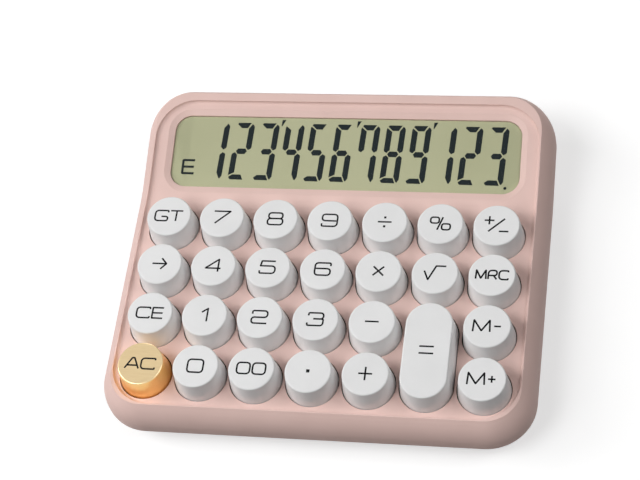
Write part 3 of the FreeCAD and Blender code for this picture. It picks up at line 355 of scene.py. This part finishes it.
ROUND_BOX = ([(0, 0), (1, 0), (1, 1), (0, 1)], True)
BAR = ([(0, 0.5), (1, 0.5)], False)
POST = ([(0.5, 0), (0.5, 1)], False)
RISING = ([(0, 0), (1, 1)], False)
FALLING = ([(0, 1), (1, 0)], False)
TOP_BAR = ([(0, 1), (1, 1)], False)
FOOT_BAR = ([(0, 0), (1, 0)], False)
GLYPHS = {
    "0": [ROUND_BOX],
    "1": [([(0, 0.7), (1, 1), (1, 0)], False)],
    "2": [([(0.03, 0.74), (0.03, 1), (1, 1), (1, 0.48), (0, 0.48), (0, 0), (1, 0)], False)],
    "3": [
        ([(0.05, 0.78), (0.05, 1), (1, 1), (1, 0.53), (0.36, 0.53)], False),
        ([(0.9, 0.53), (1, 0.5), (1, 0), (0, 0), (0, 0.22)], False),
    ],
    "4": [([(0.86, 0), (0.86, 1), (0, 0.27), (1.04, 0.27)], False)],
    "5": [
        ([(0.98, 1), (0.1, 1), (0.03, 0.57)], False),
        ([(0, 0.6), (1, 0.6), (1, 0), (0, 0), (0, 0.22)], False),
    ],
    "6": [([(1, 0.76), (1, 1), (0, 1), (0, 0), (1, 0), (1, 0.54), (0.06, 0.54)], False)],
    "7": [([(0, 1), (1, 1), (0.12, 0)], False)],
    "8": [
        ([(0.04, 0.52), (0.96, 0.52), (0.96, 1), (0.04, 1)], True),
        ([(0, 0), (1, 0), (1, 0.52), (0, 0.52)], True),
    ],
    "9": [([(0, 0.24), (0, 0), (1, 0), (1, 1), (0, 1), (0, 0.46), (0.94, 0.46)], False)],
    "A": [([(0, 0), (0.46, 1), (0.62, 1), (1, 0)], False), ([(0.14, 0.3), (0.88, 0.3)], False)],
    "C": [([(1, 0.84), (1, 1), (0, 1), (0, 0), (1, 0), (1, 0.16)], False)],
    "E": [([(1, 1), (0, 1), (0, 0), (1, 0)], False), ([(0.06, 0.5), (0.95, 0.5)], False)],
    "G": [([(1, 0.82), (1, 1), (0, 1), (0, 0), (1, 0), (1, 0.42), (0.5, 0.42)], False)],
    "M": [([(0, 0), (0.04, 1), (0.5, 0.08), (0.96, 1), (1, 0)], False)],
    "R": [
        ([(0, 0), (0, 1), (1, 1), (1, 0.42), (0.06, 0.42)], False),
        ([(0.62, 0.42), (1, 0)], False),
    ],
    "T": [TOP_BAR, ([(0.5, 0.96), (0.5, 0)], False)],
    "minus": [BAR],
    "plus": [BAR, POST],
    "equals": [TOP_BAR, FOOT_BAR],
    "cross": [RISING, FALLING],
    "slash": [RISING],
    "root": [([(0, 0.64), (0.2, 0), (0.54, 1), (1, 1)], False)],
    "arrow": [BAR, ([(0.62, 1), (1, 0.5), (0.62, 0)], False)],
}
# Glyphs whose corners are all sharp, and the one line of another glyph that is.
SHARP_GLYPHS = ("1", "4", "7", "A", "M", "T", "E", "root", "arrow", "cross", "slash")
SHARP_LINES = {"5": 0}

STROKE = 0.59
LEGEND_CORNER = 1.35
SMALL_CORNER = 0.95
SMALL_HEIGHT = 3.0
SHARP_CORNER = 0.12
INK_LEVELS = (-0.03, 0.02)


def line_of(text, height, widths, gap):
    """Letters set out side by side about the middle of a key."""
    start = -(sum(widths) + gap * (len(widths) - 1)) / 2
    placed = []
    for glyph, width in zip(text, widths):
        placed.append((glyph, start, -height / 2, width, height))
        start += width + gap
    return placed


def digit(glyph, width=5.35, height=4.7):
    """One figure in the middle of a key."""
    return line_of(glyph, height, (width,), 0.0)


# Marks are (glyph, x, y, width, height), placed by the lower left corner, and dots by the middle.
DOT = 0.8
LARGE_DOT = 1.15
LEGENDS = {
    "key_gt": line_of("GT", 4.1, (4.6, 4.4), 0.8),
    "key_7": digit("7", 5.8, 4.8),
    "key_8": digit("8"),
    "key_9": digit("9"),
    "key_divide": [
        ("minus", -2.35, -0.5, 4.7, 1.0),
        ("dot", 0.0, 1.75, DOT, DOT),
        ("dot", 0.0, -1.75, DOT, DOT),
    ],
    "key_percent": [
        ("0", -3.4, 0.1, 2.9, 2.3),
        ("slash", -0.95, -2.5, 1.7, 5.0),
        ("0", 0.55, -2.4, 2.9, 2.3),
    ],
    "key_sign": [
        ("plus", -4.2, 0.2, 3.3, 3.2),
        ("slash", -2.7, -2.5, 5.3, 5.0),
        ("minus", 0.9, -2.9, 3.2, 1.0),
    ],
    "key_back": [("arrow", -2.5, -2.1, 5.0, 4.2)],
    "key_4": digit("4", 5.1, 4.8),
    "key_5": digit("5"),
    "key_6": digit("6"),
    "key_multiply": [("cross", -1.8, -1.7, 3.6, 3.4)],
    "key_root": [("root", -3.6, -2.6, 7.2, 5.2)],
    "key_mrc": line_of("MRC", 3.3, (3.4, 2.8, 3.0), 0.75),
    "key_ce": line_of("CE", 3.95, (4.6, 3.75), 0.95),
    "key_1": digit("1", 2.0, 4.9),
    "key_2": digit("2"),
    "key_3": digit("3"),
    "key_minus": [("minus", -2.3, -0.5, 4.6, 1.0)],
    "key_equals": [("equals", -2.4, -1.25, 4.8, 2.5)],
    "key_m_minus": [("M", -4.6, -2.1, 5.6, 4.2), ("minus", 2.3, -0.6, 2.2, 1.2)],
    "key_ac": line_of("AC", 3.9, (4.8, 4.75), 0.7),
    "key_0": digit("0"),
    "key_00": line_of("00", 4.05, (4.4, 4.4), 0.9),
    "key_point": [("dot", 0.0, 0.0, LARGE_DOT, LARGE_DOT)],
    "key_plus": [("plus", -2.3, -2.4, 4.6, 4.8)],
    "key_m_plus": [("M", -4.8, -2.1, 5.6, 4.2), ("plus", 1.9, -1.2, 2.4, 2.4)],
}
SQUARE = ((-0.5, -0.5), (0.5, -0.5), (0.5, 0.5), (-0.5, 0.5))


def scaled(points, x, y, width, height):
    """Points of a unit box, at their place and size."""
    return [(x + across * width, y + up * height) for across, up in points]


def key_frame(key):
    """The place of a key's top, in metres."""
    low, high = (Vector(corner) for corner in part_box(key))
    return Matrix.Translation(((low.x + high.x) / 2, (low.y + high.y) / 2, high.z))


for key, marks in LEGENDS.items():
    legend = bmesh.new()
    for glyph, *box in marks:
        if glyph == "dot":
            add_plate(legend, scaled(SQUARE, *box), INK_LEVELS)
            continue
        height = box[-1]
        for index, (points, closed) in enumerate(GLYPHS[glyph]):
            if glyph in SHARP_GLYPHS or SHARP_LINES.get(glyph) == index:
                corner = SHARP_CORNER
            else:
                corner = LEGEND_CORNER if height > SMALL_HEIGHT else SMALL_CORNER
            add_stroke(legend, scaled(points, *box), STROKE, corner, closed, INK_LEVELS)
    make_piece(f"legend_{key}", legend, key_frame(key), MATERIALS["key_ink"], key)


# Display figures, in millimetres in the tilted frame of the window

ALONG_MIDDLE = WINDOW_FRONT + WINDOW_LENGTH / 2
window_middle = (
    0.0,
    (BEND_Y + ALONG_MIDDLE * math.cos(DISPLAY_TILT)) * MM,
    (DECK_HEIGHT + ALONG_MIDDLE * math.sin(DISPLAY_TILT)) * MM,
)
window_frame = Matrix.Translation(window_middle) @ Matrix.Rotation(DISPLAY_TILT, 4, "X")

DIGIT_PITCH = 9.13
FIRST_DIGIT = -46.5
DIGIT_LEVEL = 0.5
SLANT = math.tan(math.radians(3.3))
FIGURE_THICKNESS = 0.02
FIGURE_LEVELS = (-PANEL_DEPTH, -PANEL_DEPTH + FIGURE_THICKNESS)
SHOWN = "123456789123"
# The seven bars of a figure, about the middle of its crossbar.
BARS = {
    "a": [(-2.95, 10.35), (-2.6, 10.9), (2.05, 10.9), (0.9, 8.85), (-1.25, 8.85)],
    "b": [
        (1.35, 1.5), (2.3, 0.45), (3.25, 1.0), (3.42, 1.55),
        (3.42, 9.3), (3.1, 9.95), (2.5, 10.45), (1.35, 8.7),
    ],
    "c": [
        (1.35, -1.55), (2.3, -0.5), (3.25, -1.05), (3.42, -1.6),
        (3.42, -9.5), (2.75, -10.65), (2.35, -10.4), (1.35, -8.4),
    ],
    "d": [(-3.2, -9.9), (-2.0, -8.95), (1.2, -8.95), (2.1, -10.9), (-2.5, -10.85), (-2.95, -10.45)],
    "e": [
        (-1.35, -1.45), (-2.3, -0.45), (-3.25, -1.0), (-3.42, -1.55),
        (-3.42, -9.25), (-1.35, -8.2),
    ],
    "f": [
        (-1.35, 1.5), (-2.3, 0.45), (-3.25, 1.0), (-3.42, 1.55),
        (-3.42, 9.3), (-3.2, 9.9), (-1.35, 8.45),
    ],
    "g": [(-2.0, 0.0), (-1.3, 1.0), (1.3, 1.0), (2.0, 0.0), (1.3, -1.1), (-1.35, -1.1)],
}
SEGMENTS = {
    "1": "bc",
    "2": "abged",
    "3": "abgcd",
    "4": "fgbc",
    "5": "afgcd",
    "6": "afgecd",
    "7": "fabc",
    "8": "abcdefg",
    "9": "abcdfg",
}
# The separator stands before these places, and is drawn about the figure's own middle.
SEPARATED = (3, 6, 9)
SEPARATOR = [(-5.1, 12.25), (-3.7, 12.3), (-4.85, 9.8), (-5.1, 9.9)]
POINT_ASIDE = 4.3
POINT_LEVEL = -11.75
POINT_RADIUS = 0.55
POINT_SIDES = 16
ERROR_BOX = (-58.3, -8.4, 4.3, 5.0)
ERROR_STROKE = 0.85
ERROR_CORNER = 0.3


def digit_x(place):
    """The middle of the figure at a place, counted from the left."""
    return FIRST_DIGIT + place * DIGIT_PITCH


def lean(points, x):
    """Points of a figure set at x and slanted."""
    return [(x + across + up * SLANT, DIGIT_LEVEL + up) for across, up in points]


figures = bmesh.new()
for place, shown in enumerate(SHOWN):
    for segment in SEGMENTS[shown]:
        add_plate(figures, lean(BARS[segment], digit_x(place)), FIGURE_LEVELS)
for place in SEPARATED:
    add_plate(figures, lean(SEPARATOR, digit_x(place)), FIGURE_LEVELS)
decimal_point = []
for side in range(POINT_SIDES):
    angle = side * math.tau / POINT_SIDES
    across, up = POINT_RADIUS * math.cos(angle), POINT_RADIUS * math.sin(angle)
    decimal_point.append((across, POINT_LEVEL + up))
add_plate(figures, lean(decimal_point, digit_x(len(SHOWN) - 1) + POINT_ASIDE), FIGURE_LEVELS)
for points, closed in GLYPHS["E"]:
    letter = scaled(points, *ERROR_BOX)
    add_stroke(figures, letter, ERROR_STROKE, ERROR_CORNER, closed, FIGURE_LEVELS)
segment_ink = MATERIALS["segment_ink"]
make_piece("display_figures", figures, window_frame, segment_ink, "case")


# Floor, light and camera, in metres

FLOOR_HALF = 3.0
# The floor's tone as a source of light and as it is seen.
FLOOR_BOUNCE = 0.2
FLOOR_TONE = 0.6
# The light added to the seen floor near the object; it rises to white at the far distance.
FLOOR_LIFT = 0.54
FLOOR_NEAR = 0.25
FLOOR_FAR = 1.2
WORLD_LIGHT = 0.03


def seen_or_lit(tree, lit, seen):
    """One level for the light on the object, and another for what camera, gloss and glass show."""
    path = tree.nodes.new("ShaderNodeLightPath")
    shown = path.outputs["Is Camera Ray"]
    for flag in ("Is Glossy Ray", "Is Transmission Ray"):
        either = tree.nodes.new("ShaderNodeMath")
        either.operation = "MAXIMUM"
        tree.links.new(shown, either.inputs[0])
        tree.links.new(path.outputs[flag], either.inputs[1])
        shown = either.outputs[0]
    level = tree.nodes.new("ShaderNodeMapRange")
    level.inputs["To Min"].default_value = lit
    level.inputs["To Max"].default_value = seen
    tree.links.new(shown, level.inputs["Value"])
    return level.outputs["Result"]


def make_floor():
    """A floor that looks white and keeps the soft shadow, but throws little light back.

    The lamps light only the middle of it, so it is lifted more towards its edges.
    """
    tree, shader = new_material("floor")
    tree.nodes.remove(shader)
    output = tree.nodes["Material Output"]
    matte = tree.nodes.new("ShaderNodeBsdfDiffuse")
    tree.links.new(seen_or_lit(tree, FLOOR_BOUNCE, FLOOR_TONE), matte.inputs["Color"])
    place = tree.nodes.new("ShaderNodeTexCoord")
    reach = tree.nodes.new("ShaderNodeVectorMath")
    reach.operation = "LENGTH"
    tree.links.new(place.outputs["Object"], reach.inputs[0])
    level = tree.nodes.new("ShaderNodeMapRange")
    level.inputs["From Min"].default_value = FLOOR_NEAR
    level.inputs["From Max"].default_value = FLOOR_FAR
    level.inputs["To Min"].default_value = FLOOR_LIFT
    level.inputs["To Max"].default_value = 1.0
    tree.links.new(reach.outputs["Value"], level.inputs["Value"])
    gate = tree.nodes.new("ShaderNodeMath")
    gate.operation = "MULTIPLY"
    tree.links.new(level.outputs["Result"], gate.inputs[0])
    tree.links.new(seen_or_lit(tree, 0.0, 1.0), gate.inputs[1])
    lift = tree.nodes.new("ShaderNodeEmission")
    lift.inputs["Color"].default_value = WHITE
    tree.links.new(gate.outputs[0], lift.inputs["Strength"])
    both = tree.nodes.new("ShaderNodeAddShader")
    tree.links.new(matte.outputs[0], both.inputs[0])
    tree.links.new(lift.outputs[0], both.inputs[1])
    tree.links.new(both.outputs[0], output.inputs["Surface"])


make_floor()
floor_data = bpy.data.meshes.new("floor")
floor_corners = [(x * FLOOR_HALF * 2, y * FLOOR_HALF * 2, 0) for x, y in SQUARE]
floor_data.from_pydata(floor_corners, [], [(0, 1, 2, 3)])
floor_data.materials.append(MATERIALS["floor"])
floor = bpy.data.objects.new("floor", floor_data)
scene.collection.objects.link(floor)

world = bpy.data.worlds.new("studio")
scene.world = world
world.use_nodes = True
sky = world.node_tree.nodes["Background"]
sky.inputs["Color"].default_value = WHITE
world.node_tree.links.new(seen_or_lit(world.node_tree, WORLD_LIGHT, 1.0), sky.inputs["Strength"])

# Square soft lamps: place, size and watts.  All face the same point.
LAMP_TARGET = Vector((0.0, 0.0, 0.02))
LAMPS = {
    "left_lamp": ((-0.983, 0.0, 0.688), 0.6, 5.8),
    "front_lamp": ((-0.527, -0.442, 0.983), 0.6, 7.2),
    "right_lamp": ((0.771, 0.0, 0.919), 0.6, 4.2),
    "rear_lamp": ((-0.22, 1.06, 0.27), 0.3, 2.6),
}
for name, (place, size, power) in LAMPS.items():
    lamp = bpy.data.lights.new(name, "AREA")
    lamp.shape = "SQUARE"
    lamp.size = size
    lamp.energy = power
    holder = bpy.data.objects.new(name, lamp)
    holder.location = place
    holder.rotation_euler = (LAMP_TARGET - Vector(place)).to_track_quat("-Z", "Y").to_euler()
    scene.collection.objects.link(holder)

# The camera: its place in millimetres, its axes, and its focal length in pixels.
CAMERA_PLACE = Vector((126.38, -303.08, 562.31))
CAMERA_RIGHT = Vector((0.97826938, 0.12817766, -0.1629709))
CAMERA_DOWN = Vector((0.03015014, -0.86560422, -0.49982028))
CAMERA_AHEAD = Vector((-0.20513409, 0.48404528, -0.85065867))
FOCAL_PIXELS = 1847.67
IMAGE_WIDTH = 640
SENSOR = 36.0

camera_data = bpy.data.cameras.new("camera")
camera_data.sensor_width = SENSOR
camera_data.lens = FOCAL_PIXELS * SENSOR / IMAGE_WIDTH
camera = bpy.data.objects.new("camera", camera_data)
camera_turn = Matrix((CAMERA_RIGHT, -CAMERA_DOWN, -CAMERA_AHEAD)).transposed()
camera.matrix_world = Matrix.Translation(CAMERA_PLACE * MM) @ camera_turn.to_4x4()
scene.collection.objects.link(camera)
scene.camera = camera
